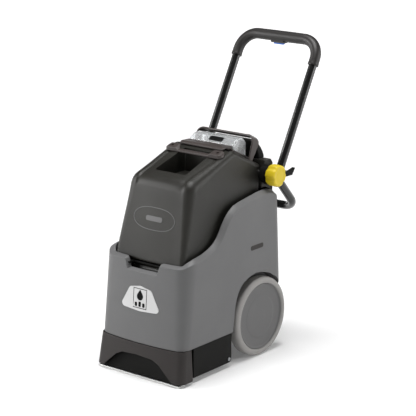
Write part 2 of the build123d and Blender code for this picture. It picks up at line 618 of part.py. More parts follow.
def make_carry_bar():
    """Bar across the hand hold, with a raised lobe at each end."""
    front, rear = BAR_Y - 14, BAR_Y + 4

    def above_roof(y, height):
        return y, roof_z(y) + height

    strap = [above_roof(front, 0.2), above_roof(rear, 0.2), above_roof(rear, 9), above_roof(front + 2, 9)]
    strap.append(above_roof(front, 7))
    bar = prism_x(strap, -BAR_HALF, BAR_HALF)
    bar = fillet(bar.edges().filter_by(lambda e: abs(abs(e.center().X) - BAR_HALF) < 0.5), 3)
    lobe = [above_roof(front + 1, 6), above_roof(rear + 9, 0.2), above_roof(rear + 9, 13)]
    lobe += [above_roof(rear, 15.5), above_roof(front + 3, 14)]
    bar += both_sides(prism_x(lobe, 62, 100))
    return bar - both_sides(rod_z(BAR_SCREW_X, BAR_Y - 1, BAR_SCREW_R, 600, 650))


def make_bar_screws():
    return both_sides(rod_z(BAR_SCREW_X, BAR_Y - 1, BAR_SCREW_R, 617.8, 624))


def make_lid_gasket():
    return roof_band(-20, 60, 0.1, 3, 94) - roof_band(-11, 50, -1, 4, 84)


def make_lid_frame():
    front, rear = -24, -12
    lip, ridge = LID_LIP, TANK_APEX[0]
    under = [(lip, roof_z(lip) + 3.1), (ridge, roof_z(ridge) + 3.1), (front, roof_z(front) + 3.1)]
    bar = [*under, (rear, roof_z(rear) + 8), (rear, 634), (lip + 7, 635.5), (lip, roof_z(lip) + 8)]
    frame = roof_band(front, 64, 3.1, 9, 98) + prism_x(bar, -80, 80)
    return frame - roof_band(-11, 50, 0, 12, 84)


def dome_outline(inset):
    """Side outline of the clear cover, shrunk by an inset but open below."""
    front, rear = DOME_FRONT + inset, DOME_REAR - inset
    top = [(front, 635 - inset), (12, 649 - inset), (36, 650 - inset), (rear, 639 - inset)]
    foot = [(rear, roof_z(DOME_REAR) + 3 - 2 * inset), (front, roof_z(DOME_FRONT) + 3 - 2 * inset)]
    return make_face(Polyline(*top, *foot, close=True))


def make_lid_dome():
    """Clear cover over the tank's inlet."""
    outer = prism_x(dome_outline(0), -DOME_HALF, DOME_HALF)
    outer = fillet(outer.edges().filter_by(lambda e: e.center().Z > 630), 7)
    return outer - prism_x(dome_outline(2.5), -DOME_HALF + 2.5, DOME_HALF - 2.5)


def make_standpipe():
    return rod_z(PIPE_X, PIPES_Y, 16, TANK_FLOOR + TANK_WALL, 590) - rod_z(PIPE_X, PIPES_Y, 13.5, 300, 600)


def make_float_cage():
    cage = rod_z(FLOAT_X, PIPES_Y, 20, 520, 575) - rod_z(FLOAT_X, PIPES_Y, 17.5, 522, 560)
    for index in range(4):
        cage -= Pos(FLOAT_X, PIPES_Y, 540) * Rot(0, 0, 45 * index) * Box(60, 8, 26)
    return cage + rod_z(FLOAT_X, PIPES_Y, 12, 575, 592) - rod_z(FLOAT_X, PIPES_Y, 9, 559, 600)


def make_float_ball():
    return Pos(FLOAT_X, PIPES_Y, 538.5) * Sphere(16)


def make_bail():
    """Strap that closes over the lid and carries the tank: a round-cornered loop, wider towards its top."""
    turn = radians(BAIL_ANGLE)
    along, across = (cos(turn), sin(turn)), (-sin(turn), cos(turn))

    def at(reach, side):
        return (BAIL_Y + along[0] * reach + across[0] * side, BAIL_Z + along[1] * reach + across[1] * side)

    front = [at(reach, side) for reach, side in BAIL_TAPER]
    rear = [at(reach, -side) for reach, side in reversed(BAIL_TAPER)]
    strap = prism_x(front + rear, -BAIL_X1, BAIL_X1) + rod_x(BAIL_Y, BAIL_Z, 8, -BAIL_X1, BAIL_X1)
    thick, foot = BAIL_X1 - BAIL_X0, -20
    middle, tall = (BAIL_REACH + foot) / 2, BAIL_REACH - foot
    outer = Pos(0, middle) * Rectangle(2 * BAIL_X1, tall)
    inner = Pos(0, middle - thick) * Rectangle(2 * BAIL_X0, tall)
    outer = fillet(outer.vertices().filter_by(lambda v: v.Y > 0), BAIL_CORNER)
    plane = Plane(origin=(0, BAIL_Y, BAIL_Z), x_dir=(1, 0, 0), z_dir=(0, *across))
    loop = extrude(plane * (outer - inner), 40, both=True)
    return (strap & loop) - both_sides(rod_x(BAIL_Y, BAIL_Z, BAIL_PIN_R + RUN, 90, 120))


def make_bail_pins():
    return both_sides(rod_x(BAIL_Y, BAIL_Z, BAIL_PIN_R, 97, 112))


# ---- badges ------------------------------------------------------------------------------
def make_front_badge():
    """Pale plate on the front of the base."""
    outline = [(-70, 212), (-64, 203), (0, 198), (64, 203), (70, 212), (38, 266), (0, 272), (-38, 266)]
    plate = extrude(Plane.XZ.offset(200) * make_face(Polyline(*outline, close=True)), 200)
    return plate & (base_envelope(-1.5) - base_envelope(0))


NODES = {
    "base_shell": make_base_shell,
    "tank_tray": make_tank_tray,
    "filler_trough": make_filler_trough,
    "solution_tank": make_solution_tank,
    "chassis_plate": make_chassis_plate,
    "axle": make_axle,
    "axle_collars": make_axle_collars,
    "wheel_disc_right": make_wheel_disc,
    "wheel_disc_left": lambda: left_of(make_wheel_disc()),
    "tyre_right": make_tyre,
    "tyre_left": lambda: left_of(make_tyre()),
    "brush_deck": make_brush_deck,
    "side_panel_right": make_side_panel,
    "side_panel_left": lambda: left_of(make_side_panel()),
    "deck_screws": make_deck_screws,
    "front_skirt": make_front_skirt,
    "front_badge": make_front_badge,
    "vacuum_shoe": make_vacuum_shoe,
    "shoe_lip": make_shoe_lip,
    "brush_shaft": make_brush_shaft,
    "brush_core": make_brush_core,
    "brush_bristles": make_bristles,
    "brush_bearings": make_brush_bearings,
    "brush_pulley": make_brush_pulley,
    "brush_motor": make_brush_motor,
    "motor_pulley": make_motor_pulley,
    "drive_belt": make_drive_belt,
    "spray_bar": make_spray_bar,
    "spray_nozzles": make_spray_nozzles,
    "vacuum_motor": make_vacuum_motor,
    "vacuum_duct": make_vacuum_duct,
    "pump": make_pump,
    "solution_hose": make_solution_hose,
    "rear_column": make_rear_column,
    "rear_hood": make_rear_hood,
    "switch_panel": make_switch_panel,
    "vacuum_switch": lambda: make_rocker(-SWITCH_X),
    "brush_switch": lambda: make_rocker(SWITCH_X),
    "cord_gland": make_cord_gland,
    "handle_tube": make_handle_tube,
    "handle_grip": make_handle_grip,
    "handle_bracket_right": lambda: make_handle_bracket(hook_stub=True),
    "handle_bracket_left": lambda: left_of(make_handle_bracket(hook_stub=False)),
    "pivot_bolts": lambda: both_sides(make_pivot_bolt()),
    "knob_right": make_knob,
    "knob_left": lambda: left_of(make_knob()),
    "cord_hook": make_cord_hook,
    "trigger_housing": make_trigger_housing,
    "spray_trigger": make_spray_trigger,
    "recovery_tank": make_recovery_tank,
    "carry_bar": make_carry_bar,
    "bar_screws": make_bar_screws,
    "lid_gasket": make_lid_gasket,
    "lid_frame": make_lid_frame,
    "lid_dome": make_lid_dome,
    "standpipe": make_standpipe,
    "float_cage": make_float_cage,
    "float_ball": make_float_ball,
    "tank_bail": make_bail,
    "bail_pins": make_bail_pins,
}

os.makedirs("parts", exist_ok=True)
for name, build in NODES.items():
    export_step(build(), f"parts/{name}.step")
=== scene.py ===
"""Carpet cleaner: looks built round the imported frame. Metres, +X right, +Y rear, +Z up."""

import json
from math import atan2, cos, hypot, pi, radians, sin, sqrt

import bmesh
import bpy
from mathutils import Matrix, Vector


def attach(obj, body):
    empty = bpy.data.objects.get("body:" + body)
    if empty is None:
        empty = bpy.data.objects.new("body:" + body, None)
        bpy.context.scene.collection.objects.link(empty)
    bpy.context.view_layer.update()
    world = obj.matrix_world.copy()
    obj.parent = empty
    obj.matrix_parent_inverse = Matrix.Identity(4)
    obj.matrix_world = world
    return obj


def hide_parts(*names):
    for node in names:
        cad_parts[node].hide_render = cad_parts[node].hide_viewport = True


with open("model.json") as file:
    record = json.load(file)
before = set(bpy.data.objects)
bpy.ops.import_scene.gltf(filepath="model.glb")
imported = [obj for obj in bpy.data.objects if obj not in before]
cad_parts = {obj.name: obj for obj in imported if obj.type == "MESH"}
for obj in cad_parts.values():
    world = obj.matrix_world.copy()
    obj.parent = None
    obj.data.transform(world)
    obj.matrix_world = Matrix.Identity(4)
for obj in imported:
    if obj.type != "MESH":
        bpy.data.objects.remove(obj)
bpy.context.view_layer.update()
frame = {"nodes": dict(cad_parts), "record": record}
record = frame["record"]
body_of_node = {n: b for b, ns in record["behaviour"]["bodies"].items() for n in ns}
slot_of_node = {s["node"]: s["material_slot"] for s in record["subparts"]}
MM = 0.001

# ---- camera, lights and floor ------------------------------------------------------------
AZIMUTH, ELEVATION = radians(38.75), radians(15.2)
CAMERA_AT = (3.0465, -3.8196, 1.7587)
SENSOR, LENS = 36.0, 147.88


def add_camera():
    data = bpy.data.cameras.new("camera")
    data.sensor_width, data.lens = SENSOR, LENS
    data.clip_start, data.clip_end = 0.1, 60
    camera = bpy.data.objects.new("camera", data)
    back = Vector((sin(AZIMUTH) * cos(ELEVATION), -cos(AZIMUTH) * cos(ELEVATION), sin(ELEVATION)))
    camera.location = CAMERA_AT
    camera.rotation_mode = "QUATERNION"
    camera.rotation_quaternion = (-back).to_track_quat("-Z", "Y")
    bpy.context.scene.collection.objects.link(camera)
    bpy.context.scene.camera = camera


def add_area_light(name, place, target, size, power, colour=(1, 1, 1)):
    data = bpy.data.lights.new(name, "AREA")
    data.shape, data.size, data.energy, data.color = "SQUARE", size, power, colour
    lamp = bpy.data.objects.new(name, data)
    lamp.location = place
    lamp.rotation_mode = "QUATERNION"
    lamp.rotation_quaternion = (Vector(target) - Vector(place)).to_track_quat("-Z", "Y")
    bpy.context.scene.collection.objects.link(lamp)


def add_lights():
    middle = (0, 0, 0.4)
    add_area_light("left_light", (-3.0, -2.3, 1.8), middle, 2.0, 122)
    add_area_light("right_light", (3.1, 2.0, 1.7), middle, 2.0, 66)
    add_area_light("top_light", (0.1, -0.2, 3.6), middle, 1.8, 138)
    world = bpy.data.worlds.new("studio")
    world.use_nodes = True
    background = world.node_tree.nodes["Background"]
    background.inputs["Color"].default_value = (0.95, 0.96, 0.98, 1)
    background.inputs["Strength"].default_value = 0.05
    bpy.context.scene.world = world
    bpy.context.scene.view_settings.view_transform = "Standard"


add_camera()
add_lights()


# ---- materials ---------------------------------------------------------------------------
class Nodes:
    """Short way to write a node tree."""

    def __init__(self, name):
        self.material = bpy.data.materials.new(name)
        self.material.use_nodes = True
        self.tree = self.material.node_tree
        self.shader = self.tree.nodes["Principled BSDF"]
        self.place = self.add("ShaderNodeTexCoord").outputs["Object"]

    def add(self, kind, **settings):
        node = self.tree.nodes.new(kind)
        for key, value in settings.items():
            if hasattr(node, key):
                setattr(node, key, value)
            else:
                node.inputs[key.replace("_", " ")].default_value = value
        return node

    def link(self, source, target):
        self.tree.links.new(source, target)

    def noise(self, scale, detail=3.0, stretch=None):
        node = self.add("ShaderNodeTexNoise", Scale=scale, Detail=detail)
        if stretch:
            mapping = self.add("ShaderNodeMapping")
            mapping.inputs["Scale"].default_value = stretch
            self.link(self.place, mapping.inputs["Vector"])
            self.link(mapping.outputs[0], node.inputs["Vector"])
        else:
            self.link(self.place, node.inputs["Vector"])
        return node.outputs["Fac"]

    def spread(self, source, low, high, start=0.3, end=0.7):
        """Remaps a texture to values from low to high."""
        node = self.add("ShaderNodeMapRange")
        values = {"From Min": start, "From Max": end, "To Min": low, "To Max": high}
        for key, value in values.items():
            node.inputs[key].default_value = value
        self.link(source, node.inputs["Value"])
        return node.outputs["Result"]

    def two_colours(self, source, first, second, start=0.3, end=0.7):
        ramp = self.add("ShaderNodeValToRGB")
        low, high = ramp.color_ramp.elements
        low.position, high.position = start, end
        low.color, high.color = (*first, 1), (*second, 1)
        self.link(source, ramp.inputs["Fac"])
        return ramp.outputs["Color"]

    def bump(self, source, height, strength=1.0, under=None):
        node = self.add("ShaderNodeBump", Strength=strength, Distance=height)
        self.link(source, node.inputs["Height"])
        if under:
            self.link(under, node.inputs["Normal"])
        return node.outputs["Normal"]


def shade(colour, factor):
    return tuple(min(1.0, c * factor) for c in colour)


def plastic(name, colour, rough=0.5, grain=1400, grain_height=0.00006, mottle=0.10, wave=0.0, sheen=0.0,
            specular=0.32):
    """Moulded or painted surface: mottled colour, fine grain and uneven gloss."""
    n = Nodes(name)
    mottled = n.two_colours(n.noise(9, 5), shade(colour, 1 - mottle), shade(colour, 1 + mottle))
    n.link(mottled, n.shader.inputs["Base Color"])
    grains = n.noise(grain, 2)
    n.link(n.spread(grains, rough - 0.07, rough + 0.07), n.shader.inputs["Roughness"])
    normal = n.bump(grains, grain_height)
    if wave:
        normal = n.bump(n.noise(14, 2), wave, 1.0, normal)
    n.link(normal, n.shader.inputs["Normal"])
    n.shader.inputs["Specular IOR Level"].default_value = specular
    if sheen:
        n.shader.inputs["Coat Weight"].default_value = sheen
        n.shader.inputs["Coat Roughness"].default_value = 0.25
    return n.material


def clear_plastic(name):
    """Clear moulded cover with faint scratches and flow marks."""
    n = Nodes(name)
    haze = n.noise(30, 4)
    n.link(n.two_colours(haze, (0.90, 0.92, 0.93), (0.97, 0.98, 0.99)), n.shader.inputs["Base Color"])
    n.link(n.spread(haze, 0.015, 0.05), n.shader.inputs["Roughness"])
    n.shader.inputs["Transmission Weight"].default_value = 0.80
    n.shader.inputs["IOR"].default_value = 1.45
    n.link(n.bump(n.noise(38, 2), 0.0012, 0.7), n.shader.inputs["Normal"])
    return n.material


def brushed(name, colour, rough, along=(4, 900, 900)):
    """Bare metal with brush lines, which run where the scale given for X, Y and Z is small."""
    n = Nodes(name)
    lines = n.noise(1.0, 2, along)
    n.link(n.two_colours(lines, shade(colour, 0.8), shade(colour, 1.15)), n.shader.inputs["Base Color"])
    n.link(n.spread(lines, rough - 0.1, rough + 0.12), n.shader.inputs["Roughness"])
    n.link(n.bump(lines, 0.00008), n.shader.inputs["Normal"])
    n.shader.inputs["Metallic"].default_value = 1.0
    return n.material


GREY, DARK, BLACK = (0.114, 0.114, 0.115), (0.029, 0.0255, 0.0245), (0.006, 0.006, 0.0055)
TANK_BLACK = (0.0175, 0.0168, 0.0142)
LOOKS = {
    "base_grey": plastic("base_grey", GREY, 0.46, 1500, 0.00005, 0.04, 0.0008, specular=0.26),
    "skirt_grey": plastic("skirt_grey", DARK, 0.44, 1300, 0.00007, 0.07, 0.0006, specular=0.16),
    "tank_black": plastic("tank_black", TANK_BLACK, 0.40, 620, 0.0005, 0.14, 0.0006, specular=0.26),
    "black_plastic": plastic("black_plastic", BLACK, 0.45, 1300, 0.00006, 0.12, specular=0.07),
    "dark_grey_plastic": plastic("dark_grey_plastic", (0.042, 0.034, 0.032), 0.36, 1500, 0.00005, 0.08),
    "tube_black": plastic("tube_black", (0.006, 0.006, 0.006), 0.18, 500, 0.00003, 0.15, 0.0002, 0.5),
    "grip_rubber": plastic("grip_rubber", (0.016, 0.0145, 0.014), 0.42, 1800, 0.0001, 0.12),
    "knob_yellow": plastic("knob_yellow", (0.56, 0.42, 0.012), 0.40, 1400, 0.00005, 0.05),
    "tyre_grey": plastic("tyre_grey", (0.250, 0.243, 0.235), 0.62, 1100, 0.00012, 0.05),
    "disc_grey": plastic("disc_grey", (0.105, 0.104, 0.104), 0.50, 1400, 0.00006, 0.05, 0.0006),
    "clear_plastic": clear_plastic("clear_plastic"),
    "steel": brushed("steel", (0.62, 0.62, 0.61), 0.30),
    "motor_can": brushed("motor_can", (0.35, 0.36, 0.37), 0.42, (900, 8, 900)),
    "badge_pale": plastic("badge_pale", (0.52, 0.52, 0.52), 0.34, 1800, 0.00004, 0.04),
    "trigger_blue": plastic("trigger_blue", (0.01, 0.12, 0.50), 0.32, 1600, 0.00004, 0.08),
    "nylon": plastic("nylon", (0.55, 0.55, 0.52), 0.5, 900, 0.0001, 0.1),
    "belt_rubber": plastic("belt_rubber", (0.015, 0.015, 0.015), 0.7, 900, 0.0002, 0.2),
    "seal_rubber": plastic("seal_rubber", (0.02, 0.02, 0.02), 0.65, 1200, 0.0001, 0.15),
    "brass": brushed("brass", (0.65, 0.45, 0.16), 0.28),
    "white_plastic": plastic("white_plastic", (0.65, 0.65, 0.63), 0.35, 1500, 0.00004, 0.04),
}
# Black for printed marks and labels, and also the painted shade deep in the cord gland's bore.
MARK_AND_SHADE_BLACK = plastic("mark_and_shade_black", (0.006, 0.006, 0.006), 0.5, 1500, 0.00003, 0.1, specular=0.04)


# ---- mesh helpers (coordinates in millimetres) -------------------------------------------
def finished(name, mesh, node, smooth, look=None, bevel=0.0, stands_for=(), weighted=True):
    """Puts a mesh into the scene riding on the body of a CAD node, with its material."""
    piece = bpy.data.objects.new(name, mesh)
    bpy.context.scene.collection.objects.link(piece)
    mesh.shade_smooth()
    mesh.set_sharp_from_angle(angle=radians(smooth))
    slot = slot_of_node[node]
    mesh.materials.clear()
    mesh.materials.append(look or LOOKS[slot])
    if bevel:
        rounding = piece.modifiers.new("rounding", "BEVEL")
        rounding.width, rounding.segments = bevel * MM, 2
        rounding.limit_method, rounding.angle_limit = "ANGLE", radians(32)
        rounding.use_clamp_overlap = True
    if weighted:
        even = piece.modifiers.new("even_shading", "WEIGHTED_NORMAL")
        even.keep_sharp = True
    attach(piece, body_of_node[node])
    for stood_for in stands_for:
        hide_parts(stood_for)
    return piece


def to_mesh(name, verts, faces):
    mesh = bpy.data.meshes.new(name)
    mesh.from_pydata([(x * MM, y * MM, z * MM) for x, y, z in verts], [], faces)
    mesh.validate()
    work = bmesh.new()
    work.from_mesh(mesh)
    bmesh.ops.remove_doubles(work, verts=work.verts, dist=1e-6)
    bmesh.ops.recalc_face_normals(work, faces=work.faces)
    work.to_mesh(mesh)
    work.free()
    return mesh


def grid_faces(rows, columns, close_rows=False, close_columns=False):
    """Quads over a grid of points stored row after row."""
    faces = []
    for i in range(rows if close_rows else rows - 1):
        for j in range(columns if close_columns else columns - 1):
            a, b = i * columns, (i + 1) % rows * columns
            faces.append((a + j, a + (j + 1) % columns, b + (j + 1) % columns, b + j))
    return faces


def refined(node, bevel, look=None):
    """A CAD node's shape welded into clean faces, with its edges rounded."""
    work = bmesh.new()
    work.from_mesh(frame["nodes"][node].data)
    bmesh.ops.remove_doubles(work, verts=work.verts, dist=2e-6)
    bmesh.ops.dissolve_limit(work, angle_limit=radians(0.4), verts=work.verts, edges=work.edges)
    mesh = bpy.data.meshes.new(node + "_look")
    work.to_mesh(mesh)
    work.free()
    return finished(node + "_look", mesh, node, 35, look=look, bevel=bevel, stands_for=[node])


def turned(name, node, profile, centre, steps=128, smooth=32, **rest):
    """Surface turned about a line along X from (x, radius) points, closed where the radius is 0."""
    cy, cz = centre
    verts = []
    for x, radius in profile:
        for k in range(steps):
            angle = 2 * pi * k / steps
            verts.append((x, cy + radius * cos(angle), cz + radius * sin(angle)))
    faces = grid_faces(len(profile), steps, False, True)
    return finished(name, to_mesh(name, verts, faces), node, smooth, **rest)


def mix(a, b, t):
    return a + (b - a) * t


def smoothstep(t):
    t = min(1.0, max(0.0, t))
    return t * t * (3 - 2 * t)


def along_table(table, value):
    """Straight-line interpolation in a table of (value, result) pairs."""
    if value <= table[0][0]:
        return table[0][1]
    for (a, fa), (b, fb) in zip(table, table[1:]):
        if value <= b:
            return mix(fa, fb, (value - a) / (b - a))
    return table[-1][1]


# ---- CAD nodes that keep their mesh ------------------------------------------------------
for node, piece in frame["nodes"].items():
    piece.data.materials.clear()
    piece.data.materials.append(LOOKS[slot_of_node[node]])


# ---- base shell --------------------------------------------------------------------------
BODY_HALF, BODY_FLOOR, LOFT_TOP, BOW = 157.0, 104.0, 520.0, 15.0
BOW_RADIUS = (BODY_HALF ** 2 + BOW ** 2) / (2 * BOW)
FRONT_LOW, FRONT_HIGH, REAR_LOW, REAR_HIGH = -328.0, -294.0, 148.0, 126.0
CORNER_LOW, CORNER_HIGH, REAR_CORNER = 34.0, 60.0, 35.0
ARCH_WALL, WELL_FLOOR, DECK_START = 118.0, 326.0, 68.0
RIM_LINE = [    # (y, z) of the rim along the side
    (-345, 338), (-310, 338.5), (-304, 341), (-298, 345), (-290, 348), (-275, 350), (-256, 352),
    (-225, 357), (-197, 365), (-174, 376), (-156, 390), (-141, 408), (-129, 426), (-116, 443),
    (-101, 457), (-82, 468.5), (-60, 474), (-26, 479), (10, 484), (40, 488), (61, 488.5), (80, 485),
    (96, 480), (112, 472), (122, 460), (131, 446), (150, 446),
]
ARCH_LINE = [    # (y, z) of the wheel arch
    (-103, 104), (-101.5, 115), (-99, 130), (-96.5, 148), (-94, 165), (-90, 187), (-86, 200), (-79, 215),
    (-72, 225), (-61, 236), (-50, 243), (-32, 251), (-14, 256), (8, 258.5), (30, 256), (52, 250.5),
    (74, 243), (97, 231), (119, 213), (135, 195), (150, 175),
]
NOTCH_FLOOR, NOTCH_INNER, NOTCH_OUTER = 310.0, 54.0, 67.0
LOWER_EDGE = ((1.6, 0), (0.5, 0.5), (0, 1.6))    # (inset, lift) over the rounded lower edge
WALL_STEPS = 15
RIM_PROFILE = [    # (inset, lift) from the outer wall over the rim
    (0, 0), (0.6, 1.6), (2, 3.3), (4.5, 5), (9, 8), (13, 10.4), (15.5, 11.3), (17.2, 11.2), (18.2, 10.2),
    (18.6, 8.5),
]


def base_plan(column, z):
    """Point on the base's outer wall with its inward direction, for a column (kind, place) at a height."""
    kind, place = column
    t = (z - BODY_FLOOR) / (LOFT_TOP - BODY_FLOOR)
    front, rear = mix(FRONT_LOW, FRONT_HIGH, t), mix(REAR_LOW, REAR_HIGH, t)
    corner = mix(CORNER_LOW, CORNER_HIGH, t)
    bow_y = front - BOW + BOW_RADIUS
    corner_x = BODY_HALF - corner
    corner_y = bow_y - sqrt((BOW_RADIUS - corner) ** 2 - corner_x ** 2)
    lean = atan2(corner_x, bow_y - corner_y)
    if kind == "front":
        x, y = BOW_RADIUS * sin(lean * place), bow_y - BOW_RADIUS * cos(lean * place)
        return x, y, -sin(lean * place), cos(lean * place)
    if kind == "corner":
        turn = mix(lean, pi / 2, place)
        return corner_x + corner * sin(turn), corner_y - corner * cos(turn), -sin(turn), cos(turn)
    if kind == "side":
        return BODY_HALF, place, -1.0, 0.0
    if kind == "rear_corner":
        turn = place * pi / 2
        x, y = BODY_HALF - REAR_CORNER + REAR_CORNER * cos(turn), rear - REAR_CORNER + REAR_CORNER * sin(turn)
        return x, y, -cos(turn), -sin(turn)
    return place, rear, 0.0, -1.0


def base_columns():
    places = [k / 40 for k in range(40)] + [mix(0.44, 0.66, k / 19) for k in range(20)]
    columns = [("front", place) for place in sorted(set(places))]
    columns += [("corner", k / 10) for k in range(11)]
    columns += [("side", y) for y in range(-255, -105, 5)]
    columns += [("side", y) for y, z in ARCH_LINE if y < 88]
    columns += [("rear_corner", k / 10) for k in range(11)]
    columns += [("rear", x) for x in (ARCH_WALL + 0.01, ARCH_WALL, 100, 75, 50, 25, 0)]
    return columns


def rim_height(column, x, y):
    if column[0] == "front":
        share = (abs(x) - NOTCH_INNER) / (NOTCH_OUTER - NOTCH_INNER)
        return mix(NOTCH_FLOOR, along_table(RIM_LINE, y), smoothstep(share))
    return along_table(RIM_LINE, y)


def edge_of(column, height_at, start):
    """Height where a column of the wall meets a line given by its height at (x, y)."""
    z = start
    for _ in range(6):
        x, y = base_plan(column, z)[:2]
        z = height_at(column, x, y)
    return z


def in_arch(column):
    kind, place = column
    return (kind == "side" and place >= ARCH_LINE[0][0]) or kind == "rear_corner" or place == ARCH_WALL + 0.01


def base_sections():
    """Points from the inside of the lower edge, up the outer wall and over the rim, for each column."""
    columns = base_columns()
    rims = []
    for column in columns:
        z = edge_of(column, rim_height, 400.0)
        rims.append((*base_plan(column, z)[:2], z))
    sections = []
    for k, column in enumerate(columns):
        arched = in_arch(column)
        low = edge_of(column, lambda c, x, y: along_table(ARCH_LINE, y), 200.0) if arched else BODY_FLOOR
        x, y, nx, ny = base_plan(column, low)
        inner = (ARCH_WALL, y, low) if arched else (x + nx * 4, y + ny * 4, low)
        points = [inner]
        for inset, lift in LOWER_EDGE:
            x, y, nx, ny = base_plan(column, low + lift)
            points.append((x + nx * inset, y + ny * inset, low + lift))
        rim = rims[k]
        for step in range(1, WALL_STEPS):
            z = mix(low + LOWER_EDGE[-1][1], rim[2], step / WALL_STEPS)
            points.append((*base_plan(column, z)[:2], z))
        before, after = rims[max(k - 1, 0)], rims[min(k + 1, len(rims) - 1)]
        along = (Vector(after) - Vector(before)).normalized()
        inward = Vector((*base_plan(column, rim[2])[2:], 0))
        up = inward.cross(along)
        up = up if up.z > 0 else -up
        front_share = smoothstep((-262 - rim[1]) / 45)
        rise = mix(1.0, 0.55, front_share)
        width = 0.8 if column[0] == "front" and abs(rim[0]) < NOTCH_OUTER else 1.0
        top = 0.0
        for a, b in RIM_PROFILE:
            top = max(top, b)
            lift = top if rim[1] > DECK_START - 12 else b
            points.append(tuple(Vector(rim) + inward * a * width + up * lift * rise))
        last = points[-1]
        floor_z = min(WELL_FLOOR, last[2] - 30)
        points.append((last[0], last[1], floor_z))
        sections.append(points)
    return columns, sections


def add_base_shell():
    columns, sections = base_sections()
    rows = len(sections[0])
    verts = [p for section in sections for p in section]
    faces = []
    for k in range(len(columns) - 1):
        if columns[k] == ("rear", ARCH_WALL + 0.01):
            continue
        for j in range(rows - 1):
            a, b = k * rows + j, (k + 1) * rows + j
            deck = sections[k][-2][1] >= DECK_START
            if deck and j == rows - 2:
                continue
            faces.append((a, b, b + 1, a + 1))
    half_count = len(verts)
    faces += [tuple(reversed([v + half_count for v in face])) for face in faces]
    verts += [(-x, y, z) for x, y, z in verts]
    for k in range(len(columns) - 1):
        if sections[k][-2][1] >= DECK_START:
            a, b = k * rows + rows - 2, (k + 1) * rows + rows - 2
            faces.append((a, b, b + half_count, a + half_count))
    arch = [k for k, column in enumerate(columns) if in_arch(column)]
    for shift in (0, half_count):
        faces.append([k * rows + shift for k in arch] + [len(verts)])
        last = verts[arch[-1] * rows + shift]
        verts.append((last[0], last[1], BODY_FLOOR))
    mesh = to_mesh("base_shell_look", verts, faces)
    return finished("base_shell_look", mesh, "base_shell", 28, stands_for=["base_shell"])


add_base_shell()


# ---- recovery tank -----------------------------------------------------------------------
TANK_FLOOR, TANK_TOP = 334.0, 640.0
TANK_HALF_FLOOR, TANK_HALF_TOP = 128.0, 113.0
TANK_SIDE = [    # (y, z, rounding, rounding towards the side wall)
    (-120, 334, 0, 8), (-297, 334, 7, 14), (-241, 566, 46, 26), (-41, 628, 20, 15), (83, 566, 10, 14),
    (61, 480, 30, 14), (54, 334, 6, 8),
]


TANK_INSIDE = (-105, 105, -235, 46, 342, 544)
LID_MOUTH = (-72, 72, -8, 45, 530, 700)
BAIL_SLOT_X, BAIL_SLOT_HALF = 104.5, 4.8
HOLD = [(-57, -198, 10), (57, -198, 10), (52, -66, 6), (-52, -66, 6)]    # (x, y, rounding) of the hand hold
HOLD_FLOOR = 551.0
EDGE_ANGLES = (90, 75, 60, 45, 30, 15, 0)
ROOF_EDGE = (    # (inset, sink) of the shallow channel inside the rounding
    (3, 0), (5, 1.2), (8, 3.0), (12, 3.3), (19, 2.0), (28, 0.9),
)
ROOF_LINE = [(-241, 566), (-41, 628), (83, 566)]    # (y, z)


def rounded_loop(corners, steps=8):
    """Closed path through (y, z, rounding, extra) corners, as (y, z, extra) points."""
    points = []
    count = len(corners)
    for k, (y, z, radius, extra) in enumerate(corners):
        if radius == 0:
            points.append((y, z, extra))
            continue
        here = Vector((y, z))
        back = (Vector(corners[k - 1][:2]) - here)
        ahead = (Vector(corners[(k + 1) % count][:2]) - here)
        half_angle = back.angle(ahead) / 2
        reach = radius / (sin(half_angle) / cos(half_angle))
        reach = min(reach, back.length * 0.49, ahead.length * 0.49)
        start, end = here + back.normalized() * reach, here + ahead.normalized() * reach
        for step in range(steps + 1):
            t = step / steps
            p = start * (1 - t) ** 2 + here * 2 * t * (1 - t) + end * t ** 2
            points.append((p.x, p.y, extra))
    return points


def divided(points, longest):
    """Closed path with extra points so that no step is longer than a length."""
    result = []
    for k, a in enumerate(points):
        b = points[(k + 1) % len(points)]
        steps = max(1, int(hypot(b[0] - a[0], b[1] - a[1]) / longest) + 1)
        for step in range(steps):
            result.append(tuple(mix(p, q, smoothstep(step / steps) if i == 2 else step / steps)
                                for i, (p, q) in enumerate(zip(a, b))))
    return result


def tank_half(z):
    return mix(TANK_HALF_FLOOR, TANK_HALF_TOP, (z - TANK_FLOOR) / (TANK_TOP - TANK_FLOOR))


